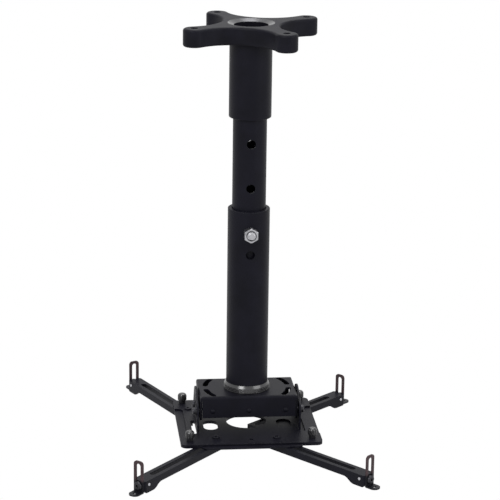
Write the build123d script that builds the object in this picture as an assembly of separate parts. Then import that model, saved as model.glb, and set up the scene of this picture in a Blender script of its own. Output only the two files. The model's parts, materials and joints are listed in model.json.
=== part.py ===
from build123d import *
import math
import os

# Projector ceiling mount: a cast ceiling plate, a two-tube column pinned by a through bolt,
# a folded yoke that swivels on the column, a cradle that tilts in it, and four slotted arms
# with height-adjustable legs. Millimetres, origin at the centre of the ceiling face, +Z up,
# front towards -Y. Heights below are measured down from the ceiling face.

# Ceiling plate
PLATE_THICKNESS = 25.5
PLATE_HOLE_SPACING = 130.0
PLATE_HOLE_RADIUS = 5.2
PLATE_EAR_RADIUS = 15.8
PLATE_WAIST = 43.0
PLATE_TURN = -19.0
PLATE_EDGE_ROUND = 3.5
BORE_MOUTH_WIDTH = 8.75
BORE_MOUTH_DEPTH = 3.2

# Column tubes
TUBE_SLIDE_CLEARANCE = 0.8
INNER_TUBE_WALL = 3.2
INNER_TUBE_TOP = -16.5
INNER_TUBE_BOTTOM = -385.0
OUTER_TUBE_RADIUS = 30.15
OUTER_TUBE_WALL = 5.2
THREAD_CLEARANCE = 0.1
SLEEVE_BOTTOM = -134.0
TUBE_EDGE_ROUND = 1.2
LOWER_TUBE_TOP = -267.0
PIN_HOLE_RADIUS = 6.5
FIRST_PIN_HOLE = -169.5
PIN_HOLE_PITCH = 64.4
PIN_HOLE_COUNT = 4
LOCK_BOLT_HOLE_NUMBER = 3
LOWER_TUBE_HOLE_STEP = 31.75

# Height lock bolt through both tubes
LOCK_BOLT_RADIUS = 6.3
LOCK_HEX_FLATS = 19.0
LOCK_HEAD_HEIGHT = 8.0
LOCK_NUT_HEIGHT = 11.0
LOCK_BOLT_PROUD = 4.0
LOCK_BOLT_POINT = 1.8

# Swivel at the foot of the column
YOKE_TOP = -539.5
SHEET = 3.0
RUNNING_CLEARANCE = 0.05
FACE_CLEARANCE = 0.1
COLLAR_WALL = 2.65
COLLAR_HEIGHT = 11.5
COLLAR_TAPER = 4.0
COLLAR_TOP_WALL = 0.65
SWIVEL_WASHER_THICKNESS = 1.5
RING_NUT_WALL = 5.85
RING_NUT_HEIGHT = 8.0
RING_NUT_NOTCHES = 4
NOTCH_WIDTH = 6.0
NOTCH_DEPTH = 3.0
TUBE_END_PROUD = 1.5

# Yoke: a folded pan, open below
YOKE_WIDTH = 142.0
RING_NUT_ROOM = 1.75
YOKE_BEND = 4.0
FRONT_FLANGE = 32.0
SIDE_FLANGE = 38.5
SIDE_FLANGE_STEP = 3.75
SIDE_FLANGE_ROUND = 6.0
CORNER_RELIEF = 7.0
ARC_SLOT_RADIUS = 61.0
ARC_SLOT_WIDTH = 8.0
ARC_SLOT_START = 9.0
ARC_SLOT_SPAN = 24.0
FLANGE_HOLE_RADIUS = 2.4
FLANGE_HOLE_PITCH = 53.0
FLANGE_HOLE_DROP = 21.9

# Tilt pivot and tilt lock
PIVOT_DROP = 25.5
PIVOT_BOLT_RADIUS = 4.0
PIVOT_HEAD_RADIUS = 6.5
TILT_LOCK_REACH = 28.0
TILT_LOCK_BOLT_RADIUS = 3.0
TILT_LOCK_HEAD_RADIUS = 5.5
TILT_LIMIT = 15.0
TILT_SLOT_MARGIN = 2.0
TILT_SLOT_CLEARANCE = 0.35
FRICTION_WASHER_THICKNESS = 2.0
FRICTION_WASHER_RADIUS = 10.0
LOCK_WASHER_THICKNESS = 1.2
LOCK_WASHER_RADIUS = 8.0
BOLT_HEAD_HEIGHT = 4.5
BOLT_HEAD_ROUND = 1.8
SOCKET_FLATS = 4.0
SOCKET_DEPTH = 2.4
BOLT_HOLE_CLEARANCE = 0.15
PIVOT_NUT_FLATS = 13.0
TILT_NUT_FLATS = 10.0
NUT_HEIGHT = 5.5
BOLT_TAIL = 2.0
HEX_SIDES = 6

# Cradle: a flat plate with two upright ears
CRADLE_SHEET = 2.5
CRADLE_WIDTH = 204.0
CRADLE_DEPTH = 184.0
CRADLE_CORNER = 9.0
SIDE_NOTCH_LENGTH = 112.0
SIDE_NOTCH_DEPTH = 12.0
CRADLE_DROP = 53.0
EAR_TOP_RADIUS = 27.0
EAR_FRONT_RADIUS = 14.0
EAR_BASE = 84.0
CENTRE_HOLE_RADIUS = 29.5
OVAL_LENGTH = 37.0
OVAL_WIDTH = 21.0
OVAL_X = 54.0
OVAL_Y = -14.5
SLIT_LENGTH = 53.0
SLIT_WIDTH = 6.0
SLIT_GAP = 0.6
SLIT_Y = -20.5
SMALL_HOLE_RADIUS = 3.0
SMALL_HOLE_OFFSET = 75.0

# Interface plate under the cradle
TAB_WIDTH = 146.0
TAB_LENGTH = 8.0
OPENING_MARGIN = 1.0

# Quick-release knob screws at the plate corners
KNOB_X = 88.5
KNOB_FRONT = -73.0
KNOB_REAR = 82.0
KNOB_RADIUS = 6.6
KNOB_HEIGHT = 10.0
KNOB_FLUTES = 12
KNOB_FLUTE_RADIUS = 0.9
KNOB_ROUND = 4.0
KNOB_SCREW_RADIUS = 3.0
SPACER_RADIUS = 4.8
SPACER_HEIGHT = 5.0

# Arms: inverted channels with a long slot, deeper at the outer end
ARM_LENGTH = 197.0
ARM_WIDTH = 21.0
ARM_DEPTH = 10.0
ARM_SHEET = 2.0
ARM_CLEARANCE = 0.2
HEAD_DEPTH = 17.5
HEAD_LENGTH = 18.0
HEAD_BLEND = 20.0
HEAD_CORNER = 4.0
ARM_CORNER = 3.0
ARM_SLOT_WIDTH = 8.5
ARM_SLOT_INNER_END = 6.0
ARM_SLOT_OUTER_END = 26.0
HEAD_PIN_RADIUS = 2.2
HEAD_PIN_INSET = 8.6
HEAD_PIN_DROP = 6.2
HEAD_PIN_PROUD = 0.8
HEAD_PIN_ROUND = 0.7

# Arm clamps
CLAMP_BOLT_RADIUS = 2.9
CLAMP_HEAD_RADIUS = 5.5
CLAMP_HEAD_HEIGHT = 2.2
CLAMP_HEAD_ROUND = 1.2
CLAMP_NUT_FLATS = 10.0
CLAMP_NUT_HEIGHT = 4.0
GUIDE_LENGTH = 12.0
GUIDE_SLACK = 0.1
GUIDE_FLANGE_RADIUS = 7.5
GUIDE_FLANGE_THICKNESS = 1.2

# Legs: slotted strips with a foot turned outwards
LEG_WIDTH = 16.0
LEG_SHEET = 2.0
LEG_HEIGHT = 46.5
LEG_SLOT_WIDTH = 7.5
LEG_SLOT_BOTTOM = 3.8
LEG_RIM = 3.8
LEG_CORNER = 5.0
LEG_BEND = 1.4
FOOT_LENGTH = 18.0
FOOT_CORNER = 7.5
FOOT_HOLE_RADIUS = 2.75
FOOT_HOLE_REACH = 10.3
LEG_SCREW_RADIUS = 2.9
LEG_SCREW_HEAD_RADIUS = 6.3
LEG_SCREW_HEAD_HEIGHT = 3.0
LEG_SCREW_DROP = 7.0
LEG_NUT_FLATS = 8.0
LEG_NUT_HEIGHT = 4.0

# Where each arm is clamped, which way it points and how much of it lies behind the clamp
ARMS = {
    "front_left": {"clamp": (-49.8, -65.5), "angle": 229.6, "tail": 14.9},
    "front_right": {"clamp": (37.2, -70.9), "angle": -49.5, "tail": 21.5},
    "rear_left": {"clamp": (-81.9, 54.0), "angle": 115.6, "tail": 29.6},
    "rear_right": {"clamp": (79.9, 55.1), "angle": 41.8, "tail": 95.1},
}

# Levels and seats that follow from the sizes above
OUTER_BORE_RADIUS = OUTER_TUBE_RADIUS - OUTER_TUBE_WALL
INNER_TUBE_RADIUS = OUTER_BORE_RADIUS - TUBE_SLIDE_CLEARANCE
INNER_BORE_RADIUS = INNER_TUBE_RADIUS - INNER_TUBE_WALL
COLLAR_RADIUS = OUTER_TUBE_RADIUS + COLLAR_WALL
COLLAR_TOP_RADIUS = OUTER_TUBE_RADIUS + COLLAR_TOP_WALL
RING_NUT_RADIUS = OUTER_TUBE_RADIUS + RING_NUT_WALL
YOKE_DEPTH = 2 * (RING_NUT_RADIUS + RING_NUT_ROOM + SHEET)
PLATE_BORE_RADIUS = INNER_TUBE_RADIUS + THREAD_CLEARANCE
BORE_MOUTH_RADIUS = PLATE_BORE_RADIUS + BORE_MOUTH_WIDTH
LOCK_BOLT_LEVEL = FIRST_PIN_HOLE - (LOCK_BOLT_HOLE_NUMBER - 1) * PIN_HOLE_PITCH
YOKE_INSIDE = YOKE_TOP - SHEET
WASHER_LEVEL = YOKE_INSIDE - FACE_CLEARANCE
RING_NUT_LEVEL = WASHER_LEVEL - SWIVEL_WASHER_THICKNESS
LOWER_TUBE_BOTTOM = RING_NUT_LEVEL - RING_NUT_HEIGHT - TUBE_END_PROUD
PIVOT_LEVEL = YOKE_TOP - PIVOT_DROP
YOKE_SIDE = YOKE_WIDTH / 2
EAR_INSIDE = YOKE_SIDE + FRICTION_WASHER_THICKNESS + FACE_CLEARANCE
EAR_OUTSIDE = EAR_INSIDE + CRADLE_SHEET
CRADLE_TOP = YOKE_TOP - CRADLE_DROP
INTERFACE_TOP = CRADLE_TOP - CRADLE_SHEET
INTERFACE_BOTTOM = INTERFACE_TOP - CRADLE_SHEET
ARM_TOP = INTERFACE_BOTTOM - ARM_CLEARANCE
SLIT_X = EAR_OUTSIDE + SLIT_GAP + SLIT_WIDTH / 2
KNOB_SPOTS = [(x, y) for x in (-KNOB_X, KNOB_X) for y in (KNOB_FRONT, KNOB_REAR)]
CLAMP_SPOTS = [arm["clamp"] for arm in ARMS.values()]
SIDES = (-1, 1)


def rod(radius, low, high):
    """Upright cylinder between two heights."""
    return Pos(0, 0, low) * Cylinder(radius, high - low, align=(Align.CENTER, Align.CENTER, Align.MIN))


def ring(outer, inner, low, high):
    """Upright ring between two heights."""
    return rod(outer, low, high) - rod(inner, low, high)


def widest_rims(shape, count):
    """The circular edges of largest radius."""
    return shape.edges().filter_by(GeomType.CIRCLE).sort_by(SortBy.RADIUS)[-count:]


def corner_radius(flats):
    """Radius to the corners of a hexagon given by its width across flats."""
    return flats / 2 / math.cos(math.pi / HEX_SIDES)


def hexagon(flats):
    """Hexagon given by its width across flats."""
    return RegularPolygon(corner_radius(flats), HEX_SIDES)


def hex_block(flats, low, high):
    """Upright hexagonal block with chamfered corners, as on nuts and bolt heads."""
    corner = corner_radius(flats)
    turned = rod(corner, low, high)
    turned = chamfer(turned.edges().filter_by(GeomType.CIRCLE), (corner - flats / 2) / 2)
    return Pos(0, 0, low) * extrude(hexagon(flats), high - low) & turned


def hex_nut(flats, bore, low, high):
    """Hexagonal nut, standing on its face."""
    return hex_block(flats, low, high) - rod(bore, low, high)


def button_screw(head_radius, head_height, head_round, radius, length):
    """Rounded socket screw: head above the XY plane, shank below it."""
    head = rod(head_radius, 0, head_height)
    head = fillet(head.edges().sort_by(Axis.Z)[-1], head_round)
    socket = Pos(0, 0, head_height - SOCKET_DEPTH) * extrude(hexagon(SOCKET_FLATS), SOCKET_DEPTH)
    return head - socket + rod(radius, -length, 0)


def sideways(side, at_x, y, z):
    """Place that turns +Z outwards along X on the left (-1) or right (1) side."""
    return Pos(side * at_x, y, z) * Rot(0, side * 90, 0)


def cross_hole(radius, level, reach):
    """Cylinder along Y at a height, for pin holes."""
    return Pos(0, 0, level) * Rot(90, 0, 0) * Cylinder(radius, 2 * reach)


def ceiling_plate():
    """Cast X-shaped plate: four round ears joined by hollow-curved sides."""
    half = PLATE_HOLE_SPACING / 2
    step = PLATE_EAR_RADIUS - PLATE_WAIST
    side_centre = (2 * half**2 - step**2) / (2 * half + 2 * step)
    side_radius = side_centre - PLATE_WAIST
    ears = [(half, half), (-half, half), (-half, -half), (half, -half)]
    centres = [(side_centre, 0), (0, side_centre), (-side_centre, 0), (0, -side_centre)]
    corners = []
    for index, ear in enumerate(ears):
        for centre in (centres[index], centres[(index + 1) % 4]):
            run = Vector(*centre) - Vector(*ear)
            corners.append(Vector(*ear) + run.normalized() * PLATE_EAR_RADIUS)
    outline = Polygon(*corners, align=None)
    outline = outline + [Pos(*ear) * Circle(PLATE_EAR_RADIUS) for ear in ears]
    outline = outline - [Pos(*centre) * Circle(side_radius) for centre in centres]
    plate = Pos(0, 0, -PLATE_THICKNESS) * extrude(outline, PLATE_THICKNESS)
    rims = plate.edges().group_by(Axis.Z)
    plate = fillet(rims[0] + rims[-1], PLATE_EDGE_ROUND)
    holes = [Pos(*ear) * rod(PLATE_HOLE_RADIUS, -PLATE_THICKNESS, 0) for ear in ears]
    mouth = Cone(PLATE_BORE_RADIUS, BORE_MOUTH_RADIUS, BORE_MOUTH_DEPTH,
                 align=(Align.CENTER, Align.CENTER, Align.MAX))
    plate = plate - holes - rod(PLATE_BORE_RADIUS, -PLATE_THICKNESS, 0) - mouth
    return Rot(0, 0, PLATE_TURN) * plate


def upper_sleeve():
    """Coupling sleeve under the ceiling plate, threaded onto the inner tube."""
    body = ring(OUTER_TUBE_RADIUS, PLATE_BORE_RADIUS, SLEEVE_BOTTOM, -PLATE_THICKNESS)
    return fillet(widest_rims(body, 2), TUBE_EDGE_ROUND)


def inner_tube():
    """Inner column tube with a row of pin holes through both walls."""
    body = ring(INNER_TUBE_RADIUS, INNER_BORE_RADIUS, INNER_TUBE_BOTTOM, INNER_TUBE_TOP)
    for index in range(PIN_HOLE_COUNT):
        level = FIRST_PIN_HOLE - index * PIN_HOLE_PITCH
        body = body - cross_hole(PIN_HOLE_RADIUS, level, INNER_TUBE_RADIUS)
    return body


def lower_tube():
    """Outer column tube with two pin holes half a pitch apart."""
    body = ring(OUTER_TUBE_RADIUS, OUTER_BORE_RADIUS, LOWER_TUBE_BOTTOM, LOWER_TUBE_TOP)
    body = fillet(widest_rims(body, 2).sort_by(Axis.Z)[-1:], TUBE_EDGE_ROUND)
    for level in (LOCK_BOLT_LEVEL, LOCK_BOLT_LEVEL - LOWER_TUBE_HOLE_STEP):
        body = body - cross_hole(PIN_HOLE_RADIUS, level, OUTER_TUBE_RADIUS)
    return body


def height_bolt():
    """Hexagon bolt through the column, head at the rear and thread end at the front."""
    tip = -OUTER_TUBE_RADIUS - LOCK_NUT_HEIGHT - LOCK_BOLT_PROUD
    shank = rod(LOCK_BOLT_RADIUS, tip, OUTER_TUBE_RADIUS)
    shank = chamfer(shank.edges().sort_by(Axis.Z)[0], LOCK_BOLT_POINT)
    head = hex_block(LOCK_HEX_FLATS, OUTER_TUBE_RADIUS, OUTER_TUBE_RADIUS + LOCK_HEAD_HEIGHT)
    return Pos(0, 0, LOCK_BOLT_LEVEL) * Rot(-90, 0, 0) * Rot(0, 0, 180 / HEX_SIDES) * (head + shank)


def height_nut():
    """Hexagon nut on the height bolt, against the front of the lower tube."""
    low = -OUTER_TUBE_RADIUS - LOCK_NUT_HEIGHT
    nut = hex_nut(LOCK_HEX_FLATS, LOCK_BOLT_RADIUS + RUNNING_CLEARANCE, low, -OUTER_TUBE_RADIUS)
    return Pos(0, 0, LOCK_BOLT_LEVEL) * Rot(-90, 0, 0) * Rot(0, 0, 180 / HEX_SIDES) * nut


def lock_collar():
    """Collar on the tube just above the yoke, tapered at the top."""
    low = YOKE_TOP + FACE_CLEARANCE
    high = low + COLLAR_HEIGHT
    taper = Cone(COLLAR_RADIUS, COLLAR_TOP_RADIUS, COLLAR_TAPER,
                 align=(Align.CENTER, Align.CENTER, Align.MAX))
    body = rod(COLLAR_RADIUS, low, high - COLLAR_TAPER) + Pos(0, 0, high) * taper
    return body - rod(OUTER_TUBE_RADIUS + THREAD_CLEARANCE, low, high)


def swivel_washer():
    """Slippery washer between the yoke and the ring nut."""
    return ring(RING_NUT_RADIUS, OUTER_TUBE_RADIUS + THREAD_CLEARANCE, RING_NUT_LEVEL, WASHER_LEVEL)


def ring_nut():
    """Slotted round nut that carries the yoke on the tube's end."""
    low = RING_NUT_LEVEL - RING_NUT_HEIGHT
    body = ring(RING_NUT_RADIUS, OUTER_TUBE_RADIUS + THREAD_CLEARANCE, low, RING_NUT_LEVEL)
    notch = Box(2 * NOTCH_DEPTH, NOTCH_WIDTH, RING_NUT_HEIGHT)
    spots = PolarLocations(RING_NUT_RADIUS, RING_NUT_NOTCHES)
    return body - [Pos(0, 0, low + RING_NUT_HEIGHT / 2) * spot * notch for spot in spots]


def yoke():
    """Folded pan: slotted top, short front and rear flanges, long side flanges with the pivots."""
    top = (Align.CENTER, Align.CENTER, Align.MAX)
    pan = Box(YOKE_WIDTH, YOKE_DEPTH, SIDE_FLANGE, align=top)
    edges = pan.faces().sort_by(Axis.Z)[-1].edges()
    pan = fillet(edges, YOKE_BEND)
    inside = Box(YOKE_WIDTH - 2 * SHEET, YOKE_DEPTH - 2 * SHEET, SIDE_FLANGE, align=top)
    pan = pan - Pos(0, 0, -SHEET) * inside
    for side in SIDES:
        low = Box(YOKE_WIDTH, SIDE_FLANGE_STEP, SIDE_FLANGE - FRONT_FLANGE, align=top)
        pan = pan - Pos(0, side * (YOKE_DEPTH - SIDE_FLANGE_STEP) / 2, -FRONT_FLANGE) * low
        for corner in SIDES:
            relief = Box(CORNER_RELIEF, CORNER_RELIEF, SIDE_FLANGE, align=top)
            pan = pan - Pos(corner * YOKE_SIDE, side * YOKE_DEPTH / 2, -CORNER_RELIEF) * relief
    flange_corners = pan.edges().filter_by(Axis.X).group_by(Axis.Z)[0]
    pan = fillet(flange_corners, SIDE_FLANGE_ROUND)
    pan = pan - rod(OUTER_TUBE_RADIUS + RUNNING_CLEARANCE, -SHEET, 0)
    for side in (0, 180):
        for start in (ARC_SLOT_START, -ARC_SLOT_START - ARC_SLOT_SPAN):
            line = CenterArc((0, 0), ARC_SLOT_RADIUS, side + start, ARC_SLOT_SPAN)
            pan = pan - Pos(0, 0, -SHEET) * extrude(SlotArc(line, ARC_SLOT_WIDTH), SHEET)
    for index in (-1, 0, 1):
        hole = cross_hole(FLANGE_HOLE_RADIUS, -FLANGE_HOLE_DROP, SHEET)
        pan = pan - Pos(index * FLANGE_HOLE_PITCH, -YOKE_DEPTH / 2, 0) * hole
    for reach, radius in ((0, PIVOT_BOLT_RADIUS), (-TILT_LOCK_REACH, TILT_LOCK_BOLT_RADIUS)):
        hole = Rot(0, 90, 0) * Cylinder(radius + BOLT_HOLE_CLEARANCE, 2 * YOKE_WIDTH)
        pan = pan - Pos(0, reach, -PIVOT_DROP) * hole
    return Pos(0, 0, YOKE_TOP) * pan


def pivot_bolts():
    """Tilt pivot bolts, one through each ear into the yoke's side flange."""
    length = EAR_OUTSIDE + FACE_CLEARANCE - (YOKE_SIDE - SHEET - NUT_HEIGHT) + BOLT_TAIL
    bolt = button_screw(PIVOT_HEAD_RADIUS, BOLT_HEAD_HEIGHT, BOLT_HEAD_ROUND, PIVOT_BOLT_RADIUS, length)
    return [sideways(side, EAR_OUTSIDE + FACE_CLEARANCE, 0, PIVOT_LEVEL) * bolt for side in SIDES]


def pivot_washers():
    """Friction washers between the yoke and the ears."""
    bore = PIVOT_BOLT_RADIUS + THREAD_CLEARANCE
    washer = ring(FRICTION_WASHER_RADIUS, bore, 0, FRICTION_WASHER_THICKNESS)
    return [sideways(side, YOKE_SIDE, 0, PIVOT_LEVEL) * washer for side in SIDES]


def pivot_nuts():
    """Nuts on the pivot bolts, inside the yoke."""
    nut = hex_nut(PIVOT_NUT_FLATS, PIVOT_BOLT_RADIUS + RUNNING_CLEARANCE, -NUT_HEIGHT, 0)
    return [sideways(side, YOKE_SIDE - SHEET, 0, PIVOT_LEVEL) * nut for side in SIDES]


def tilt_lock_bolts():
    """Tilt lock bolts, fixed in the yoke and running in the ears' curved slots."""
    seat = EAR_OUTSIDE + FACE_CLEARANCE + LOCK_WASHER_THICKNESS
    length = seat - (YOKE_SIDE - SHEET - NUT_HEIGHT) + BOLT_TAIL
    bolt = button_screw(TILT_LOCK_HEAD_RADIUS, BOLT_HEAD_HEIGHT, BOLT_HEAD_ROUND,
                        TILT_LOCK_BOLT_RADIUS, length)
    return [sideways(side, seat, -TILT_LOCK_REACH, PIVOT_LEVEL) * bolt for side in SIDES]


def tilt_lock_washers():
    """Wide washers under the tilt lock bolts' heads."""
    washer = ring(LOCK_WASHER_RADIUS, TILT_LOCK_BOLT_RADIUS + THREAD_CLEARANCE, 0, LOCK_WASHER_THICKNESS)
    seat = EAR_OUTSIDE + FACE_CLEARANCE
    return [sideways(side, seat, -TILT_LOCK_REACH, PIVOT_LEVEL) * washer for side in SIDES]


def tilt_lock_nuts():
    """Nuts on the tilt lock bolts, inside the yoke."""
    nut = hex_nut(TILT_NUT_FLATS, TILT_LOCK_BOLT_RADIUS + RUNNING_CLEARANCE, -NUT_HEIGHT, 0)
    return [sideways(side, YOKE_SIDE - SHEET, -TILT_LOCK_REACH, PIVOT_LEVEL) * nut for side in SIDES]


def plate_openings(margin, sides):
    """Openings that run through the cradle and, a little larger, through the plate below it."""
    cuts = Sketch() + Circle(CENTRE_HOLE_RADIUS + margin)
    oval = SlotOverall(OVAL_LENGTH + 2 * margin, OVAL_WIDTH + 2 * margin, rotation=90)
    slit = SlotOverall(SLIT_LENGTH + 2 * margin, SLIT_WIDTH + 2 * margin, rotation=90)
    for side in sides:
        cuts = cuts + Pos(side * OVAL_X, OVAL_Y) * oval + Pos(side * SLIT_X, SLIT_Y) * slit
    for side in SIDES:
        cuts = cuts + Pos(0, side * SMALL_HOLE_OFFSET) * Circle(SMALL_HOLE_RADIUS + margin)
    for spot in CLAMP_SPOTS:
        cuts = cuts + Pos(*spot) * Circle(CLAMP_BOLT_RADIUS + BOLT_HOLE_CLEARANCE)
    for spot in KNOB_SPOTS:
        cuts = cuts + Pos(*spot) * Circle(KNOB_SCREW_RADIUS + BOLT_HOLE_CLEARANCE)
    return cuts


def ear_outline():
    """Ear in its own plane, pivot at the origin: front along -X, up along +Y."""
    base = CRADLE_TOP - PIVOT_LEVEL
    foot = Polyline((-EAR_BASE / 2, base), (EAR_BASE / 2, base))
    tip = Pos(-TILT_LOCK_REACH, 0) * Circle(EAR_FRONT_RADIUS)
    outline = make_hull(Circle(EAR_TOP_RADIUS).edges() + tip.edges() + foot.edges())
    sweep = TILT_LIMIT + TILT_SLOT_MARGIN
    line = CenterArc((0, 0), TILT_LOCK_REACH, 180 - sweep, 2 * sweep)
    slot = SlotArc(line, 2 * (TILT_LOCK_BOLT_RADIUS + TILT_SLOT_CLEARANCE))
    return outline - slot - Circle(PIVOT_BOLT_RADIUS + RUNNING_CLEARANCE)


def cradle():
    """Tilting plate, notched at the sides, with two upright ears that straddle the yoke."""
    outline = RectangleRounded(CRADLE_WIDTH, CRADLE_DEPTH, CRADLE_CORNER) - plate_openings(0, SIDES)
    notch = RectangleRounded(2 * SIDE_NOTCH_DEPTH, SIDE_NOTCH_LENGTH, CRADLE_CORNER)
    outline = outline - [Pos(side * CRADLE_WIDTH / 2, 0) * notch for side in SIDES]
    body = Pos(0, 0, INTERFACE_TOP) * extrude(outline, CRADLE_SHEET)
    ear = extrude(Plane.YZ * ear_outline(), CRADLE_SHEET)
    for start in (EAR_INSIDE, -EAR_OUTSIDE):
        body = body + Pos(start, 0, PIVOT_LEVEL) * ear
    return body


def interface_plate():
    """Plate that stays with the projector: a grip tab at front and rear, side openings only on the left."""
    outline = RectangleRounded(CRADLE_WIDTH, CRADLE_DEPTH, CRADLE_CORNER)
    outline = outline + RectangleRounded(TAB_WIDTH, CRADLE_DEPTH + 2 * TAB_LENGTH, CRADLE_CORNER)
    outline = outline - plate_openings(OPENING_MARGIN, SIDES[:1])
    return Pos(0, 0, INTERFACE_BOTTOM) * extrude(outline, CRADLE_SHEET)


def knob_screws():
    """Fluted knob screws that hold the interface plate to the cradle."""
    head = rod(KNOB_RADIUS, 0, KNOB_HEIGHT)
    head = fillet(head.edges().sort_by(Axis.Z)[-1], KNOB_ROUND)
    for index in range(KNOB_FLUTES):
        spot = Rot(0, 0, index * 360 / KNOB_FLUTES) * Pos(KNOB_RADIUS, 0, 0)
        head = head - spot * rod(KNOB_FLUTE_RADIUS, 0, KNOB_HEIGHT)
    length = SPACER_HEIGHT + 2 * CRADLE_SHEET - FACE_CLEARANCE
    screw = head + rod(KNOB_SCREW_RADIUS, -length, 0)
    return [Pos(*spot, CRADLE_TOP + SPACER_HEIGHT) * screw for spot in KNOB_SPOTS]


def knob_spacers():
    """Sleeves that stand the knobs off the cradle."""
    sleeve = ring(SPACER_RADIUS, KNOB_SCREW_RADIUS + THREAD_CLEARANCE, 0, SPACER_HEIGHT)
    return [Pos(*spot, CRADLE_TOP) * sleeve for spot in KNOB_SPOTS]


def clamp_nut_level():
    """Top of the clamp nuts, under the guides' flanges inside the arms."""
    return ARM_TOP - ARM_SHEET - GUIDE_FLANGE_THICKNESS - 2 * FACE_CLEARANCE


def clamp_bolts():
    """Low-headed bolts that clamp the arms under the plates."""
    length = CRADLE_TOP - clamp_nut_level() + CLAMP_NUT_HEIGHT
    bolt = button_screw(CLAMP_HEAD_RADIUS, CLAMP_HEAD_HEIGHT, CLAMP_HEAD_ROUND, CLAMP_BOLT_RADIUS, length)
    return [Pos(*spot, CRADLE_TOP) * bolt for spot in CLAMP_SPOTS]


def clamp_nuts():
    """Nuts on the clamp bolts, inside the arms' channels."""
    nut = hex_nut(CLAMP_NUT_FLATS, CLAMP_BOLT_RADIUS + RUNNING_CLEARANCE, -CLAMP_NUT_HEIGHT, 0)
    return [Pos(*spot, clamp_nut_level()) * nut for spot in CLAMP_SPOTS]


def clamp_place(arm):
    """Frame of an arm's clamp: origin on the bolt at the arm's top, +X outwards along the arm."""
    return Pos(*arm["clamp"], ARM_TOP) * Rot(0, 0, arm["angle"])


def arm_place(arm):
    """Frame of an arm: origin at its inner end, +X outwards along the arm."""
    return clamp_place(arm) * Pos(-arm["tail"], 0, 0)


def arm_guide(arm):
    """Guide that turns on the clamp bolt and keeps the arm's slot in line with it."""
    width = ARM_SLOT_WIDTH - 2 * GUIDE_SLACK
    boss = extrude(SlotOverall(GUIDE_LENGTH, width), -ARM_SHEET - FACE_CLEARANCE)
    low = -ARM_SHEET - FACE_CLEARANCE - GUIDE_FLANGE_THICKNESS
    body = boss + rod(GUIDE_FLANGE_RADIUS, low, low + GUIDE_FLANGE_THICKNESS)
    return clamp_place(arm) * (body - rod(CLAMP_BOLT_RADIUS + RUNNING_CLEARANCE, low, 0))


def arm_side(start, roof, end):
    """Side outline of an arm's channel: shallow along its length, deeper at the head."""
    shoulder = ARM_LENGTH - HEAD_LENGTH
    hollow = shoulder - HEAD_BLEND
    middle = ((shoulder + hollow) / 2, -(ARM_DEPTH + HEAD_DEPTH) / 2)
    lines = Polyline((hollow, -ARM_DEPTH), (start, -ARM_DEPTH), (start, -roof),
                     (end, -roof), (end, -HEAD_DEPTH), (shoulder, -HEAD_DEPTH))
    blend = Spline((shoulder, -HEAD_DEPTH), middle, (hollow, -ARM_DEPTH), tangents=((-1, 0), (-1, 0)))
    return make_face(lines.edges() + blend.edges())


def arm_channel(arm):
    """Slotted inverted channel with a deep closed head at its outer end."""
    upright = Rot(90, 0, 0)
    outer = upright * extrude(arm_side(0, 0, ARM_LENGTH), ARM_WIDTH / 2, both=True)
    ends = outer.edges().filter_by(Axis.Z).sort_by(Axis.X)[-2:]
    outer = fillet(ends, ARM_CORNER)
    heel = Pos(ARM_LENGTH, -HEAD_DEPTH) * Rectangle(HEAD_CORNER, HEAD_CORNER, align=(Align.MAX, Align.MIN))
    heel = heel - Pos(ARM_LENGTH - HEAD_CORNER, HEAD_CORNER - HEAD_DEPTH) * Circle(HEAD_CORNER)
    outer = outer - upright * extrude(heel, ARM_WIDTH / 2, both=True)
    inside_width = ARM_WIDTH - 2 * ARM_SHEET
    inside = upright * extrude(arm_side(0, ARM_SHEET, ARM_LENGTH - ARM_SHEET), inside_width / 2, both=True)
    body = outer - inside
    slot_length = ARM_LENGTH - ARM_SLOT_INNER_END - ARM_SLOT_OUTER_END
    slot = Pos(ARM_SLOT_INNER_END + slot_length / 2, 0) * SlotOverall(slot_length, ARM_SLOT_WIDTH)
    body = body - extrude(slot, -ARM_SHEET)
    screw = Pos(ARM_LENGTH, 0, -LEG_SCREW_DROP) * Rot(0, 90, 0)
    body = body - screw * Cylinder(LEG_SCREW_RADIUS + BOLT_HOLE_CLEARANCE, 2 * HEAD_PIN_INSET)
    pin = Pos(ARM_LENGTH - HEAD_PIN_INSET, 0, -HEAD_PIN_DROP) * Rot(90, 0, 0)
    body = body - pin * Cylinder(HEAD_PIN_RADIUS + THREAD_CLEARANCE, 2 * ARM_WIDTH)
    return arm_place(arm) * body


def head_pin(arm):
    """Bright cross pin through the arm's head, domed at both ends."""
    reach = ARM_WIDTH / 2 + HEAD_PIN_PROUD
    pin = rod(HEAD_PIN_RADIUS, -reach, reach)
    pin = fillet(pin.edges().filter_by(GeomType.CIRCLE), HEAD_PIN_ROUND)
    place = Pos(ARM_LENGTH - HEAD_PIN_INSET, 0, -HEAD_PIN_DROP) * Rot(90, 0, 0)
    return arm_place(arm) * place * pin


def leg_place(arm):
    """Frame of a leg: origin on the arm's end face at floor level, +X outwards."""
    return arm_place(arm) * Pos(ARM_LENGTH + FACE_CLEARANCE, 0, -HEAD_DEPTH)


def tongue(length, width, corner):
    """Flat strip along +X from the origin, with its outer corners rounded."""
    strip = Pos(length / 2, 0) * Rectangle(length, width)
    return fillet(strip.vertices().sort_by(Axis.X)[-2:], corner)


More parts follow.
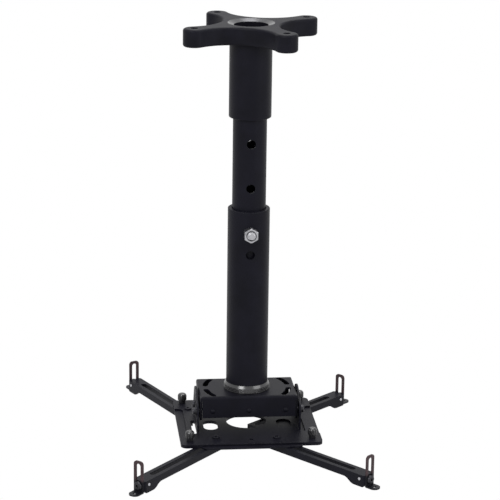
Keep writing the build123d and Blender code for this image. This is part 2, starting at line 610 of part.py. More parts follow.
def leg(arm):
    """Slotted strip bent into an L, with a rounded foot and its screw hole."""
    slot_length = LEG_HEIGHT - LEG_RIM - LEG_SLOT_BOTTOM
    slot = Pos(LEG_SLOT_BOTTOM + slot_length / 2, 0) * SlotOverall(slot_length, LEG_SLOT_WIDTH)
    strip = Rot(0, 0, 90) * (tongue(LEG_HEIGHT, LEG_WIDTH, LEG_CORNER) - slot)
    upright = extrude(Plane.YZ * strip, LEG_SHEET)
    foot = tongue(FOOT_LENGTH, LEG_WIDTH, FOOT_CORNER) - Pos(FOOT_HOLE_REACH, 0) * Circle(FOOT_HOLE_RADIUS)
    body = upright + extrude(foot, LEG_SHEET)
    heel = body.edges().filter_by(Axis.Y).sort_by_distance((0, 0, 0))[:1]
    return leg_place(arm) * fillet(heel, LEG_BEND)


def leg_screw(arm):
    """Screw that clamps a leg's slot to the arm's head."""
    seat = 2 * FACE_CLEARANCE + LEG_SHEET
    length = seat + ARM_SHEET + LEG_NUT_HEIGHT
    screw = button_screw(LEG_SCREW_HEAD_RADIUS, LEG_SCREW_HEAD_HEIGHT, BOLT_HEAD_ROUND,
                         LEG_SCREW_RADIUS, length)
    return arm_place(arm) * Pos(ARM_LENGTH + seat, 0, -LEG_SCREW_DROP) * Rot(0, 90, 0) * screw


def leg_nut(arm):
    """Nut on a leg screw, inside the arm's head."""
    nut = hex_nut(LEG_NUT_FLATS, LEG_SCREW_RADIUS + RUNNING_CLEARANCE, -LEG_NUT_HEIGHT, 0)
    return arm_place(arm) * Pos(ARM_LENGTH - ARM_SHEET, 0, -LEG_SCREW_DROP) * Rot(0, 90, 0) * nut


SINGLES = [
    ceiling_plate, upper_sleeve, inner_tube, lower_tube, height_bolt, height_nut, lock_collar,
    swivel_washer, ring_nut, yoke, pivot_bolts, pivot_washers, pivot_nuts, tilt_lock_bolts,
    tilt_lock_washers, tilt_lock_nuts, cradle, interface_plate, knob_screws, knob_spacers,
    clamp_bolts, clamp_nuts,
]
PER_ARM = [arm_guide, arm_channel, head_pin, leg, leg_screw, leg_nut]

nodes = {make.__name__: make() for make in SINGLES}
for corner, settings in ARMS.items():
    for make in PER_ARM:
        nodes[f"{make.__name__}_{corner}"] = make(settings)

os.makedirs("parts", exist_ok=True)
for name, shape in nodes.items():
    solid = Compound(children=shape) if isinstance(shape, list) else shape
    export_step(solid, f"parts/{name}.step")
print(len(nodes), "nodes written")
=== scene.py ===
import json
import math
import bpy
from mathutils import Matrix, Vector


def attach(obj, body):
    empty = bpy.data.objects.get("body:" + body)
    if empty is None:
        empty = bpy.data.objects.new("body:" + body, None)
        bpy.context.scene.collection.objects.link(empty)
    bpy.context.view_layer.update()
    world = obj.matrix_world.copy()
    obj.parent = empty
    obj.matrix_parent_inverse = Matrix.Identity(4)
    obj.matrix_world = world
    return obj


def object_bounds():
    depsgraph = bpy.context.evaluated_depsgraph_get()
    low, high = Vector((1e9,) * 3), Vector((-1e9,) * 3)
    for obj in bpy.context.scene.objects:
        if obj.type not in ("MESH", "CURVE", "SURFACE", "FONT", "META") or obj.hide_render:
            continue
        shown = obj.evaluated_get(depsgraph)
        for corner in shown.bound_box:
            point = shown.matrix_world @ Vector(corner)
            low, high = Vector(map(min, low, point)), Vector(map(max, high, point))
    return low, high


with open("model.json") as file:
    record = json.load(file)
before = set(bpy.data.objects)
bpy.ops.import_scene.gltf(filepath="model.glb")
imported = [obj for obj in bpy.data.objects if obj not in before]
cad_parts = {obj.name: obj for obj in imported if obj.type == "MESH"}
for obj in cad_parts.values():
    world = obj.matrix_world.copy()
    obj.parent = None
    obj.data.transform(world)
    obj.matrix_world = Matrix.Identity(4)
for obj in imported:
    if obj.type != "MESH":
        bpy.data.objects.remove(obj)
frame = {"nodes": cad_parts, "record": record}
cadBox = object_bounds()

nodes = frame["nodes"]
record = frame["record"]
print("frame loaded:", len(nodes), "nodes")


# camera, as fitted to the photograph
cameraSet = {
    "place": (-0.3085, -2.958, 0.548),   # metres, in the part's frame
    "heading": 6.0,                      # degrees to the right of +Y
    "pitch": 16.46,                      # degrees down
    "roll": 0.75,
    "lens": 155.4,
    "sensor": 36.0,
    "farthest": 20.0,
}


def makeCamera(setup):
    heading = math.radians(setup["heading"])
    pitch = math.radians(setup["pitch"])
    level = math.cos(pitch)
    forward = Vector((math.sin(heading) * level, math.cos(heading) * level, -math.sin(pitch)))
    right = Vector((math.cos(heading), -math.sin(heading), 0.0))
    right = Matrix.Rotation(-math.radians(setup["roll"]), 3, forward) @ right
    up = right.cross(forward)
    data = bpy.data.cameras.new("photoCamera")
    data.lens = setup["lens"]
    data.sensor_width = setup["sensor"]
    data.clip_end = setup["farthest"]
    cam = bpy.data.objects.new("photoCamera", data)
    turn = Matrix((right, up, -forward)).transposed()
    cam.matrix_world = Matrix.Translation(setup["place"]) @ turn.to_4x4()
    bpy.context.scene.collection.objects.link(cam)
    bpy.context.scene.camera = cam


makeCamera(cameraSet)
print("camera placed")


# node helpers
floatKind = "NodeSocketFloat"
colorKind = "NodeSocketColor"
vectorKind = "NodeSocketVector"
intKind = "NodeSocketInt"
# a Mix node's colour sockets share their names with others, so they go by place
mixFirst = 6
mixSecond = 7
mixResult = 2


def addNode(tree, kind, place, **values):
    node = tree.nodes.new(kind)
    node.location = place
    for name, value in values.items():
        setattr(node, name, value)
    return node


def newGroup(name, inputs, outputs):
    tree = bpy.data.node_groups.new(name, "ShaderNodeTree")
    for label, kind, value in inputs:
        socket = tree.interface.new_socket(label, in_out="INPUT", socket_type=kind)
        socket.default_value = value
    for label, kind in outputs:
        tree.interface.new_socket(label, in_out="OUTPUT", socket_type=kind)
    return tree, addNode(tree, "NodeGroupInput", (-900, 0)), addNode(tree, "NodeGroupOutput", (900, 0))


def link(tree, start, end):
    tree.links.new(start, end)


# powder coat: orange peel, faint mottle and a little dust on faces that look up
def makeCoatGroup():
    inputs = [("Color", colorKind, (0.02, 0.02, 0.02, 1)), ("Dust", colorKind, (0.1, 0.1, 0.1, 1)),
              ("Peel Scale", floatKind, 900.0), ("Mottle Scale", floatKind, 26.0),
              ("Mottle", floatKind, 0.25), ("Dust Amount", floatKind, 0.1),
              ("Roughness", floatKind, 0.45), ("Roughness Spread", floatKind, 0.12)]
    outputs = [("Color", colorKind), ("Roughness", floatKind), ("Height", floatKind)]
    tree, start, end = newGroup("powderCoat", inputs, outputs)
    coords = addNode(tree, "ShaderNodeTexCoord", (-900, -300))
    peel = addNode(tree, "ShaderNodeTexNoise", (-600, -300))
    peel.inputs["Detail"].default_value = 3.0
    mottle = addNode(tree, "ShaderNodeTexNoise", (-600, 0))
    mottle.inputs["Detail"].default_value = 4.0
    link(tree, coords.outputs["Object"], peel.inputs["Vector"])
    link(tree, coords.outputs["Object"], mottle.inputs["Vector"])
    link(tree, start.outputs["Peel Scale"], peel.inputs["Scale"])
    link(tree, start.outputs["Mottle Scale"], mottle.inputs["Scale"])
    # mottle darkens and lightens the colour about its middle
    swing = addNode(tree, "ShaderNodeMapRange", (-350, 100))
    swing.inputs["From Min"].default_value = 0.3
    swing.inputs["From Max"].default_value = 0.7
    low = addNode(tree, "ShaderNodeMath", (-600, 250), operation="SUBTRACT")
    low.inputs[0].default_value = 1.0
    high = addNode(tree, "ShaderNodeMath", (-600, 400), operation="ADD")
    high.inputs[0].default_value = 1.0
    link(tree, start.outputs["Mottle"], low.inputs[1])
    link(tree, start.outputs["Mottle"], high.inputs[1])
    link(tree, mottle.outputs["Fac"], swing.inputs["Value"])
    link(tree, low.outputs[0], swing.inputs["To Min"])
    link(tree, high.outputs[0], swing.inputs["To Max"])
    shade = addNode(tree, "ShaderNodeVectorMath", (-100, 150), operation="SCALE")
    link(tree, start.outputs["Color"], shade.inputs[0])
    link(tree, swing.outputs["Result"], shade.inputs["Scale"])
    # dust settles on upward faces, broken up by the mottle
    split = addNode(tree, "ShaderNodeSeparateXYZ", (-600, -550))
    link(tree, coords.outputs["Normal"], split.inputs[0])
    upward = addNode(tree, "ShaderNodeMapRange", (-350, -550), interpolation_type="SMOOTHSTEP")
    upward.inputs["From Min"].default_value = 0.5
    upward.inputs["From Max"].default_value = 1.0
    link(tree, split.outputs["Z"], upward.inputs["Value"])
    broken = addNode(tree, "ShaderNodeMath", (-100, -450), operation="MULTIPLY")
    link(tree, upward.outputs["Result"], broken.inputs[0])
    link(tree, mottle.outputs["Fac"], broken.inputs[1])
    amount = addNode(tree, "ShaderNodeMath", (100, -450), operation="MULTIPLY", use_clamp=True)
    link(tree, broken.outputs[0], amount.inputs[0])
    link(tree, start.outputs["Dust Amount"], amount.inputs[1])
    dusted = addNode(tree, "ShaderNodeMix", (350, 150), data_type="RGBA")
    link(tree, amount.outputs[0], dusted.inputs["Factor"])
    link(tree, shade.outputs["Vector"], dusted.inputs[mixFirst])
    link(tree, start.outputs["Dust"], dusted.inputs[mixSecond])
    link(tree, dusted.outputs[mixResult], end.inputs["Color"])
    spread = addNode(tree, "ShaderNodeMath", (100, -150), operation="MULTIPLY")
    link(tree, mottle.outputs["Fac"], spread.inputs[0])
    link(tree, start.outputs["Roughness Spread"], spread.inputs[1])
    rough = addNode(tree, "ShaderNodeMath", (350, -150), operation="ADD", use_clamp=True)
    link(tree, spread.outputs[0], rough.inputs[0])
    link(tree, start.outputs["Roughness"], rough.inputs[1])
    link(tree, rough.outputs[0], end.inputs["Roughness"])
    link(tree, peel.outputs["Fac"], end.inputs["Height"])
    return tree


# plated metal: fine turning lines and small stains
def makePlateGroup():
    inputs = [("Color", colorKind, (0.7, 0.7, 0.7, 1)), ("Stain", colorKind, (0.4, 0.4, 0.4, 1)),
              ("Line Scale", floatKind, 2500.0), ("Stain Scale", floatKind, 180.0),
              ("Roughness", floatKind, 0.25), ("Roughness Spread", floatKind, 0.2)]
    outputs = [("Color", colorKind), ("Roughness", floatKind), ("Height", floatKind)]
    tree, start, end = newGroup("platedMetal", inputs, outputs)
    coords = addNode(tree, "ShaderNodeTexCoord", (-900, -300))
    lines = addNode(tree, "ShaderNodeTexNoise", (-600, -300))
    lines.inputs["Detail"].default_value = 2.0
    stain = addNode(tree, "ShaderNodeTexNoise", (-600, 0))
    stain.inputs["Detail"].default_value = 5.0
    link(tree, coords.outputs["Object"], lines.inputs["Vector"])
    link(tree, coords.outputs["Object"], stain.inputs["Vector"])
    link(tree, start.outputs["Line Scale"], lines.inputs["Scale"])
    link(tree, start.outputs["Stain Scale"], stain.inputs["Scale"])
    mask = addNode(tree, "ShaderNodeMapRange", (-300, 0), interpolation_type="SMOOTHSTEP")
    mask.inputs["From Min"].default_value = 0.5
    mask.inputs["From Max"].default_value = 0.8
    link(tree, stain.outputs["Fac"], mask.inputs["Value"])
    mixed = addNode(tree, "ShaderNodeMix", (0, 100), data_type="RGBA")
    link(tree, mask.outputs["Result"], mixed.inputs["Factor"])
    link(tree, start.outputs["Color"], mixed.inputs[mixFirst])
    link(tree, start.outputs["Stain"], mixed.inputs[mixSecond])
    link(tree, mixed.outputs[mixResult], end.inputs["Color"])
    spread = addNode(tree, "ShaderNodeMath", (0, -150), operation="MULTIPLY")
    link(tree, stain.outputs["Fac"], spread.inputs[0])
    link(tree, start.outputs["Roughness Spread"], spread.inputs[1])
    rough = addNode(tree, "ShaderNodeMath", (250, -150), operation="ADD", use_clamp=True)
    link(tree, spread.outputs[0], rough.inputs[0])
    link(tree, start.outputs["Roughness"], rough.inputs[1])
    link(tree, rough.outputs[0], end.inputs["Roughness"])
    link(tree, lines.outputs["Fac"], end.inputs["Height"])
    return tree


# rounded edge normal, and a broken mask along the edges, whose lighter colour is partly coat rubbed thin
# and partly a painted highlight along the edges
def makeEdgeGroup():
    inputs = [("Radius", floatKind, 0.0006), ("Wear And Highlight", floatKind, 0.3),
              ("Break Scale", floatKind, 90.0)]
    outputs = [("Normal", vectorKind), ("Mask", floatKind)]
    tree, start, end = newGroup("edgeWearAndHighlight", inputs, outputs)
    bevel = addNode(tree, "ShaderNodeBevel", (-650, 100), samples=4)
    link(tree, start.outputs["Radius"], bevel.inputs["Radius"])
    link(tree, bevel.outputs["Normal"], end.inputs["Normal"])
    face = addNode(tree, "ShaderNodeNewGeometry", (-650, -100))
    turn = addNode(tree, "ShaderNodeVectorMath", (-400, 0), operation="DOT_PRODUCT")
    link(tree, bevel.outputs["Normal"], turn.inputs[0])
    link(tree, face.outputs["Normal"], turn.inputs[1])
    edge = addNode(tree, "ShaderNodeMapRange", (-150, 0))
    edge.inputs["From Min"].default_value = 0.99
    edge.inputs["From Max"].default_value = 0.82
    link(tree, turn.outputs["Value"], edge.inputs["Value"])
    coords = addNode(tree, "ShaderNodeTexCoord", (-900, -300))
    noise = addNode(tree, "ShaderNodeTexNoise", (-400, -300))
    noise.inputs["Detail"].default_value = 4.0
    link(tree, coords.outputs["Object"], noise.inputs["Vector"])
    link(tree, start.outputs["Break Scale"], noise.inputs["Scale"])
    patchy = addNode(tree, "ShaderNodeMapRange", (-150, -300))
    patchy.inputs["From Min"].default_value = 0.3
    patchy.inputs["From Max"].default_value = 0.6
    patchy.inputs["To Min"].default_value = 0.4
    link(tree, noise.outputs["Fac"], patchy.inputs["Value"])
    broken = addNode(tree, "ShaderNodeMath", (150, -100), operation="MULTIPLY")
    link(tree, edge.outputs["Result"], broken.inputs[0])
    link(tree, patchy.outputs["Result"], broken.inputs[1])
    amount = addNode(tree, "ShaderNodeMath", (400, -100), operation="MULTIPLY", use_clamp=True)
    link(tree, broken.outputs[0], amount.inputs[0])
    link(tree, start.outputs["Wear And Highlight"], amount.inputs[1])
    link(tree, amount.outputs[0], end.inputs["Mask"])
    return tree


# mask of the ring between two radii about the column's axis
def makeRingGroup():
    inputs = [("Inner", floatKind, 0.02), ("Outer", floatKind, 0.03), ("Lowest", floatKind, 0.0)]
    tree, start, end = newGroup("ringMask", inputs, [("Mask", floatKind)])
    coords = addNode(tree, "ShaderNodeTexCoord", (-900, -300))
    flat = addNode(tree, "ShaderNodeVectorMath", (-650, -300), operation="MULTIPLY")
    flat.inputs[1].default_value = (1.0, 1.0, 0.0)
    link(tree, coords.outputs["Object"], flat.inputs[0])
    reach = addNode(tree, "ShaderNodeVectorMath", (-400, -300), operation="LENGTH")
    link(tree, flat.outputs["Vector"], reach.inputs[0])
    beyond = addNode(tree, "ShaderNodeMath", (-100, 100), operation="GREATER_THAN")
    link(tree, reach.outputs["Value"], beyond.inputs[0])
    link(tree, start.outputs["Inner"], beyond.inputs[1])
    within = addNode(tree, "ShaderNodeMath", (-100, -100), operation="LESS_THAN")
    link(tree, reach.outputs["Value"], within.inputs[0])
    link(tree, start.outputs["Outer"], within.inputs[1])
    both = addNode(tree, "ShaderNodeMath", (200, 0), operation="MULTIPLY")
    link(tree, beyond.outputs[0], both.inputs[0])
    link(tree, within.outputs[0], both.inputs[1])
    split = addNode(tree, "ShaderNodeSeparateXYZ", (-650, -500))
    link(tree, coords.outputs["Object"], split.inputs[0])
    above = addNode(tree, "ShaderNodeMath", (-100, -400), operation="GREATER_THAN")
    link(tree, split.outputs["Z"], above.inputs[0])
    link(tree, start.outputs["Lowest"], above.inputs[1])
    ring = addNode(tree, "ShaderNodeMath", (450, -100), operation="MULTIPLY")
    link(tree, both.outputs[0], ring.inputs[0])
    link(tree, above.outputs[0], ring.inputs[1])
    link(tree, ring.outputs[0], end.inputs["Mask"])
    return tree


# mask of what lies below a level
def makeLevelGroup():
    inputs = [("Level", floatKind, 0.0), ("Blend", floatKind, 0.01)]
    tree, start, end = newGroup("levelMask", inputs, [("Mask", floatKind)])
    coords = addNode(tree, "ShaderNodeTexCoord", (-900, -300))
    split = addNode(tree, "ShaderNodeSeparateXYZ", (-650, -300))
    link(tree, coords.outputs["Object"], split.inputs[0])
    top = addNode(tree, "ShaderNodeMath", (-400, 0), operation="ADD")
    link(tree, start.outputs["Level"], top.inputs[0])
    link(tree, start.outputs["Blend"], top.inputs[1])
    mask = addNode(tree, "ShaderNodeMapRange", (-100, 0))
    mask.inputs["To Min"].default_value = 1.0
    mask.inputs["To Max"].default_value = 0.0
    link(tree, split.outputs["Z"], mask.inputs["Value"])
    link(tree, start.outputs["Level"], mask.inputs["From Min"])
    link(tree, top.outputs[0], mask.inputs["From Max"])
    link(tree, mask.outputs["Result"], end.inputs["Mask"])
    return tree


coatGroup = makeCoatGroup()
edgeGroup = makeEdgeGroup()
ringGroup = makeRingGroup()
levelGroup = makeLevelGroup()
plateGroup = makePlateGroup()

# each finish's lighter edge colour is partly real wear and partly a painted highlight along the edges
coatFinishes = {
    "black_paint": {"Color": (0.0042, 0.0041, 0.0078), "Dust": (0.06, 0.06, 0.062), "Peel Scale": 900.0,
                    "Mottle Scale": 30.0, "Mottle": 0.25, "Dust Amount": 0.05,
                    "Roughness": 0.36, "Roughness Spread": 0.14,
                    "bump": 0.08, "specular": 0.10, "rubbed": (0.06, 0.06, 0.064, 1.0), "wear": 0.3},
    "cast_black": {"Color": (0.0044, 0.0043, 0.0078), "Dust": (0.08, 0.08, 0.08), "Peel Scale": 620.0,
                   "Mottle Scale": 40.0, "Mottle": 0.3, "Dust Amount": 0.07,
                   "Roughness": 0.42, "Roughness Spread": 0.16,
                   "bump": 0.16, "specular": 0.10, "rubbed": (0.06, 0.06, 0.062, 1.0), "wear": 0.25},
    "bronze_paint": {"Color": (0.042, 0.025, 0.028), "Dust": (0.08, 0.07, 0.07), "Peel Scale": 900.0,
                     "Mottle Scale": 60.0, "Mottle": 0.3, "Dust Amount": 0.05,
                     "Roughness": 0.34, "Roughness Spread": 0.14,
                     "bump": 0.08, "specular": 0.18, "rubbed": (0.10, 0.07, 0.07, 1.0), "wear": 0.2},
    "nylon": {"Color": (0.018, 0.018, 0.019), "Dust": (0.08, 0.08, 0.08), "Peel Scale": 1500.0,
              "Mottle Scale": 60.0, "Mottle": 0.15, "Dust Amount": 0.04,
              "Roughness": 0.5, "Roughness Spread": 0.1,
              "bump": 0.05, "specular": 0.3, "rubbed": (0.05, 0.05, 0.05, 1.0), "wear": 0.1},
    "gloss_black": {"Color": (0.010, 0.010, 0.012), "Dust": (0.08, 0.08, 0.08), "Peel Scale": 1500.0,
                    "Mottle Scale": 60.0, "Mottle": 0.3, "Dust Amount": 0.02,
                    "Roughness": 0.14, "Roughness Spread": 0.12,
                    "bump": 0.02, "specular": 0.8, "rubbed": (0.08, 0.08, 0.08, 1.0), "wear": 0.1},
}
plateFinishes = {
    "zinc": {"Color": (0.44, 0.44, 0.46), "Stain": (0.24, 0.24, 0.26),
             "Line Scale": 2200.0, "Stain Scale": 160.0,
             "Roughness": 0.24, "Roughness Spread": 0.16, "bump": 0.06, "metallic": 1.0,
             "rubbed": (0.5, 0.5, 0.52, 1.0), "wear": 0.5},
    "black_oxide": {"Color": (0.035, 0.035, 0.04), "Stain": (0.018, 0.018, 0.020),
                    "Line Scale": 2200.0, "Stain Scale": 160.0,
                    "Roughness": 0.28, "Roughness Spread": 0.16, "bump": 0.05, "metallic": 0.8,
                    "rubbed": (0.10, 0.10, 0.10, 1.0), "wear": 0.3},
}
# height of the finest grain, in metres
grainHeight = 0.0002
# the machined mouth of the ceiling plate's bore is left bare
bareMouth = {"Inner": 0.0244, "Outer": 0.0331, "Lowest": -0.004,
             "color": (0.085, 0.085, 0.09, 1.0), "roughness": 0.22}
# the legs' feet are darker than their uprights
darkFoot = {"Level": -0.599, "Blend": 0.004, "color": (0.0055, 0.0055, 0.0085, 1.0)}


def startMaterial(name):
    material = bpy.data.materials.new(name)
    material.use_nodes = True
    shader = material.node_tree.nodes["Principled BSDF"]
    return material, material.node_tree, shader


def useGroup(tree, shader, group, finish):
    node = addNode(tree, "ShaderNodeGroup", (-500, 0), node_tree=group)
    for label, value in finish.items():
        if label in node.inputs:
            node.inputs[label].default_value = value if isinstance(value, float) else (*value, 1.0)
    edge = addNode(tree, "ShaderNodeGroup", (-500, -350), node_tree=edgeGroup)
    edge.inputs["Wear And Highlight"].default_value = finish["wear"]
    # edges are lightened, partly as wear and partly as a painted highlight
    wornAndHighlighted = addNode(tree, "ShaderNodeMix", (-250, 200), data_type="RGBA")
    wornAndHighlighted.inputs[mixSecond].default_value = finish["rubbed"]
    link(tree, edge.outputs["Mask"], wornAndHighlighted.inputs["Factor"])
    link(tree, node.outputs["Color"], wornAndHighlighted.inputs[mixFirst])
    link(tree, wornAndHighlighted.outputs[mixResult], shader.inputs["Base Color"])
    bump = addNode(tree, "ShaderNodeBump", (-250, -250))
    link(tree, edge.outputs["Normal"], bump.inputs["Normal"])
    bump.inputs["Strength"].default_value = finish["bump"]
    bump.inputs["Distance"].default_value = grainHeight
    link(tree, node.outputs["Height"], bump.inputs["Height"])
    link(tree, node.outputs["Roughness"], shader.inputs["Roughness"])
    link(tree, bump.outputs["Normal"], shader.inputs["Normal"])


def makeFinish(name):
    material, tree, shader = startMaterial(name)
    if name in coatFinishes:
        finish = coatFinishes[name]
        useGroup(tree, shader, coatGroup, finish)
        shader.inputs["Specular IOR Level"].default_value = finish["specular"]
    else:
        finish = plateFinishes[name]
        useGroup(tree, shader, plateGroup, finish)
        shader.inputs["Metallic"].default_value = finish["metallic"]
    return material


def blendColor(material, group, setup):
    tree = material.node_tree
    shader = tree.nodes["Principled BSDF"]
    mask = addNode(tree, "ShaderNodeGroup", (-500, 400), node_tree=group)
    for socket in mask.inputs:
        socket.default_value = setup[socket.name]
    color = addNode(tree, "ShaderNodeMix", (-250, 300), data_type="RGBA")
    color.inputs[mixSecond].default_value = setup["color"]
    link(tree, mask.outputs["Mask"], color.inputs["Factor"])
    link(tree, shader.inputs["Base Color"].links[0].from_socket, color.inputs[mixFirst])
    link(tree, color.outputs[mixResult], shader.inputs["Base Color"])
    return tree, shader, mask


def bareTheMouth(material, setup):
    tree, shader, mask = blendColor(material, ringGroup, setup)
    rough = addNode(tree, "ShaderNodeMix", (-250, 100))
    rough.inputs["B"].default_value = setup["roughness"]
    link(tree, mask.outputs["Mask"], rough.inputs["Factor"])
    link(tree, shader.inputs["Roughness"].links[0].from_socket, rough.inputs["A"])
    link(tree, rough.outputs["Result"], shader.inputs["Roughness"])
    link(tree, mask.outputs["Mask"], shader.inputs["Metallic"])


finishes = {entry["slot"]: makeFinish(entry["slot"]) for entry in record["materials"]}
bareTheMouth(finishes["cast_black"], bareMouth)
blendColor(finishes["bronze_paint"], levelGroup, darkFoot)
for part in record["subparts"]:
    target = nodes[part["node"]]
    target.data.materials.clear()
    target.data.materials.append(finishes[part["material_slot"]])
print("finishes:", sorted(finishes))


# repeated details
def newGeometry(name, inputs):
    tree = bpy.data.node_groups.new(name, "GeometryNodeTree")
    tree.interface.new_socket("Geometry", in_out="OUTPUT", socket_type="NodeSocketGeometry")
    for label, kind in inputs:
        tree.interface.new_socket(label, in_out="INPUT", socket_type=kind)
    return tree, addNode(tree, "NodeGroupInput", (-900, 0)), addNode(tree, "NodeGroupOutput", (900, 0))


def growPiece(name, tree, values, body):
    mesh = bpy.data.meshes.new(name + "Seed")
    seed = bpy.data.objects.new(name + "Seed", mesh)
    bpy.context.scene.collection.objects.link(seed)
    grow = seed.modifiers.new("grow", "NODES")
    grow.node_group = tree
    sockets = {item.name: item.identifier for item in tree.interface.items_tree if item.in_out == "INPUT"}
    for label, value in values.items():
        grow[sockets[label]] = value
    bpy.context.view_layer.update()
    grown = bpy.data.meshes.new_from_object(seed.evaluated_get(bpy.context.evaluated_depsgraph_get()))
    seed.modifiers.remove(grow)
    bpy.data.objects.remove(seed)
    grown.name = name
    piece = bpy.data.objects.new(name, grown)
    bpy.context.scene.collection.objects.link(piece)
    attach(piece, body)


def finishPiece(name, tree, socket, end, setup, body, slot):
    solid = addNode(tree, "GeometryNodeRealizeInstances", (250, 0))
    link(tree, socket, solid.inputs[0])
    paint = addNode(tree, "GeometryNodeSetMaterial", (500, 0))
    paint.inputs["Material"].default_value = finishes[slot]
    link(tree, solid.outputs[0], paint.inputs["Geometry"])
    link(tree, paint.outputs[0], end.inputs["Geometry"])
    growPiece(name, tree, setup, body)


# three domed rivets in the yoke's front flange
rivetSet = {"Count": 3, "Pitch": 0.053, "First": (-0.053, -0.04075, -0.5614),
            "Radius": 0.0036, "Proud": 0.0020}


def makeRivets(setup):
    inputs = [("Count", intKind), ("Pitch", floatKind), ("First", vectorKind),
              ("Radius", floatKind), ("Proud", floatKind)]
    tree, start, end = newGeometry("rivetRow", inputs)
    step = addNode(tree, "ShaderNodeCombineXYZ", (-650, -200))
    link(tree, start.outputs["Pitch"], step.inputs["X"])
    row = addNode(tree, "GeometryNodeMeshLine", (-400, 0))
    link(tree, start.outputs["Count"], row.inputs["Count"])
    link(tree, start.outputs["First"], row.inputs["Start Location"])
    link(tree, step.outputs[0], row.inputs["Offset"])
    ball = addNode(tree, "GeometryNodeMeshUVSphere", (-400, -300))
    ball.inputs["Segments"].default_value = 24
    ball.inputs["Rings"].default_value = 12
    ball.inputs["Radius"].default_value = 1.0
    shape = addNode(tree, "ShaderNodeCombineXYZ", (-400, -550))
    link(tree, start.outputs["Radius"], shape.inputs["X"])
    link(tree, start.outputs["Proud"], shape.inputs["Y"])
    link(tree, start.outputs["Radius"], shape.inputs["Z"])
    place = addNode(tree, "GeometryNodeInstanceOnPoints", (0, 0))
    link(tree, row.outputs["Mesh"], place.inputs["Points"])
    link(tree, ball.outputs["Mesh"], place.inputs["Instance"])
    link(tree, shape.outputs[0], place.inputs["Scale"])
    finishPiece("flangeRivets", tree, place.outputs["Instances"], end, setup, "yoke", "black_paint")


# screw thread on the end of the height bolt; its dark black-oxide finish is painted shade in the groove
# between the nut and the bolt's end
threadSet = {"Turns": 1.4, "Radius": 0.0063, "Length": 0.0018, "Depth": 0.0009,
             "Place": (0.0, -0.0415, -0.2983)}


def makeThread(setup):
    inputs = [("Turns", floatKind), ("Radius", floatKind), ("Length", floatKind),
              ("Depth", floatKind), ("Place", vectorKind)]
    tree, start, end = newGeometry("boltThread", inputs)
    coil = addNode(tree, "GeometryNodeCurveSpiral", (-600, 0))
    coil.inputs["Resolution"].default_value = 40
    link(tree, start.outputs["Turns"], coil.inputs["Rotations"])
    link(tree, start.outputs["Radius"], coil.inputs["Start Radius"])
    link(tree, start.outputs["Radius"], coil.inputs["End Radius"])
    link(tree, start.outputs["Length"], coil.inputs["Height"])
    ridge = addNode(tree, "GeometryNodeCurvePrimitiveCircle", (-600, -300))
    ridge.inputs["Resolution"].default_value = 8
    link(tree, start.outputs["Depth"], ridge.inputs["Radius"])
    swept = addNode(tree, "GeometryNodeCurveToMesh", (-300, 0))
    swept.inputs["Fill Caps"].default_value = True
    link(tree, coil.outputs["Curve"], swept.inputs["Curve"])
    link(tree, ridge.outputs["Curve"], swept.inputs["Profile Curve"])
    lie = addNode(tree, "GeometryNodeTransform", (0, 0))
    lie.inputs["Rotation"].default_value = (math.pi / 2, 0.0, 0.0)
    link(tree, swept.outputs["Mesh"], lie.inputs["Geometry"])
    link(tree, start.outputs["Place"], lie.inputs["Translation"])
    # the coil is painted dark, against the zinc of the bolt, as shade in the groove round the bolt's end
    finishPiece("boltThread", tree, lie.outputs["Geometry"], end, setup, "column", "black_oxide")


# turned ridges round the lock collar
ridgeSet = {"Count": 3, "Pitch": 0.0022, "Lowest": (0.0, 0.0, -0.5378), "Radius": 0.0328, "Depth": 0.00045}


def makeRidges(setup):
    inputs = [("Count", intKind), ("Pitch", floatKind), ("Lowest", vectorKind),
              ("Radius", floatKind), ("Depth", floatKind)]
    tree, start, end = newGeometry("collarRidges", inputs)
    hoop = addNode(tree, "GeometryNodeCurvePrimitiveCircle", (-650, -300))
    hoop.inputs["Resolution"].default_value = 128
    link(tree, start.outputs["Radius"], hoop.inputs["Radius"])
    ridge = addNode(tree, "GeometryNodeCurvePrimitiveCircle", (-650, -500))
    ridge.inputs["Resolution"].default_value = 8
    link(tree, start.outputs["Depth"], ridge.inputs["Radius"])
    swept = addNode(tree, "GeometryNodeCurveToMesh", (-400, -300))
    link(tree, hoop.outputs["Curve"], swept.inputs["Curve"])
    link(tree, ridge.outputs["Curve"], swept.inputs["Profile Curve"])
    step = addNode(tree, "ShaderNodeCombineXYZ", (-650, 200))
    link(tree, start.outputs["Pitch"], step.inputs["Z"])
    stack = addNode(tree, "GeometryNodeMeshLine", (-400, 0))
    link(tree, start.outputs["Count"], stack.inputs["Count"])
    link(tree, start.outputs["Lowest"], stack.inputs["Start Location"])
    link(tree, step.outputs[0], stack.inputs["Offset"])
    place = addNode(tree, "GeometryNodeInstanceOnPoints", (0, 0))
    link(tree, stack.outputs["Mesh"], place.inputs["Points"])
    link(tree, swept.outputs["Mesh"], place.inputs["Instance"])
    finishPiece("collarRidges", tree, place.outputs["Instances"], end, setup, "column", "gloss_black")


makeRivets(rivetSet)
makeThread(threadSet)
makeRidges(ridgeSet)
print("details made")


# floor, world and lamps
# the floor lies below the lowest pose
stageSet = {"floorSize": 12.0, "floorDrop": 0.12, "floorColor": (0.9, 0.9, 0.9, 1.0), "floorRoughness": 0.9,
            "floorSpecular": 0.1, "floorWhite": 1.0, "ambient": 0.55}


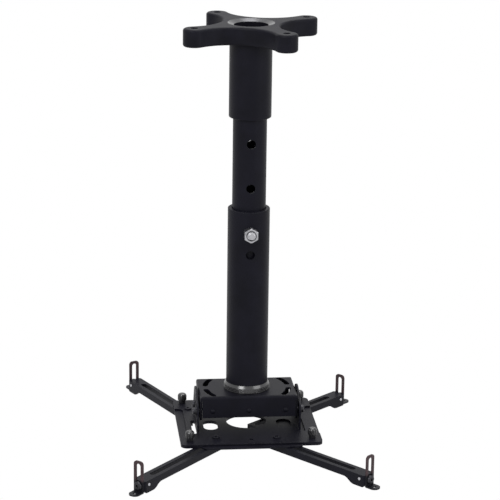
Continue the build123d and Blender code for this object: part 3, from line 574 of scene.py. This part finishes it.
def makeStage(setup):
    half = setup["floorSize"] / 2
    mesh = bpy.data.meshes.new("floor")
    level = cadBox[0][2] - setup["floorDrop"]
    corners = [(-half, -half, level), (half, -half, level), (half, half, level), (-half, half, level)]
    mesh.from_pydata(corners, [], [range(len(corners))])
    floor = bpy.data.objects.new("floor", mesh)
    bpy.context.scene.collection.objects.link(floor)
    material, tree, shader = startMaterial("paleFloor")
    shader.inputs["Base Color"].default_value = setup["floorColor"]
    shader.inputs["Roughness"].default_value = setup["floorRoughness"]
    shader.inputs["Specular IOR Level"].default_value = setup["floorSpecular"]
    white = addNode(tree, "ShaderNodeEmission", (0, -300))
    rays = addNode(tree, "ShaderNodeLightPath", (-600, 300))
    seen = addNode(tree, "ShaderNodeMath", (-400, 300), operation="MAXIMUM")
    link(tree, rays.outputs["Is Camera Ray"], seen.inputs[0])
    link(tree, rays.outputs["Is Glossy Ray"], seen.inputs[1])
    share = addNode(tree, "ShaderNodeMath", (-200, 300), operation="MULTIPLY")
    share.inputs[1].default_value = setup["floorWhite"]
    link(tree, seen.outputs[0], share.inputs[0])
    mixed = addNode(tree, "ShaderNodeMixShader", (200, 0))
    link(tree, share.outputs[0], mixed.inputs["Fac"])
    link(tree, shader.outputs[0], mixed.inputs[1])
    link(tree, white.outputs[0], mixed.inputs[2])
    link(tree, mixed.outputs[0], tree.nodes["Material Output"].inputs["Surface"])
    mesh.materials.append(material)


def makeWorld(setup):
    world = bpy.data.worlds.new("studio")
    bpy.context.scene.world = world
    world.use_nodes = True
    tree = world.node_tree
    back = tree.nodes["Background"]
    back.inputs["Color"].default_value = (1.0, 1.0, 1.0, 1.0)
    rays = addNode(tree, "ShaderNodeLightPath", (-800, 300))
    seen = addNode(tree, "ShaderNodeMath", (-600, 300), operation="MAXIMUM")
    link(tree, rays.outputs["Is Camera Ray"], seen.inputs[0])
    link(tree, rays.outputs["Is Glossy Ray"], seen.inputs[1])
    clear = addNode(tree, "ShaderNodeMath", (-400, 300), operation="MAXIMUM")
    link(tree, seen.outputs[0], clear.inputs[0])
    link(tree, rays.outputs["Is Transmission Ray"], clear.inputs[1])
    level = addNode(tree, "ShaderNodeMapRange", (-200, 300))
    level.inputs["To Min"].default_value = setup["ambient"]
    level.inputs["To Max"].default_value = 1.0
    link(tree, clear.outputs[0], level.inputs["Value"])
    link(tree, level.outputs["Result"], back.inputs["Strength"])


lampSet = {
    "keyLamp": {"place": (-1.6, -2.2, 1.6), "size": 1.6, "watts": 55.0},
    "fillLamp": {"place": (2.0, -1.6, 0.6), "size": 1.8, "watts": 22.0},
    "topLamp": {"place": (0.2, 0.6, 2.0), "size": 2.0, "watts": 40.0},
}


def makeLamps(setup):
    middle = (Vector(cadBox[0]) + Vector(cadBox[1])) / 2
    for name, lamp in setup.items():
        data = bpy.data.lights.new(name, "AREA")
        data.shape = "DISK"
        data.size = lamp["size"]
        data.energy = lamp["watts"]
        obj = bpy.data.objects.new(name, data)
        obj.location = lamp["place"]
        aim = middle - Vector(lamp["place"])
        obj.rotation_euler = aim.to_track_quat("-Z", "Y").to_euler()
        bpy.context.scene.collection.objects.link(obj)


makeStage(stageSet)
makeWorld(stageSet)
makeLamps(lampSet)
bpy.context.scene.view_settings.view_transform = "Standard"
print("stage lit")
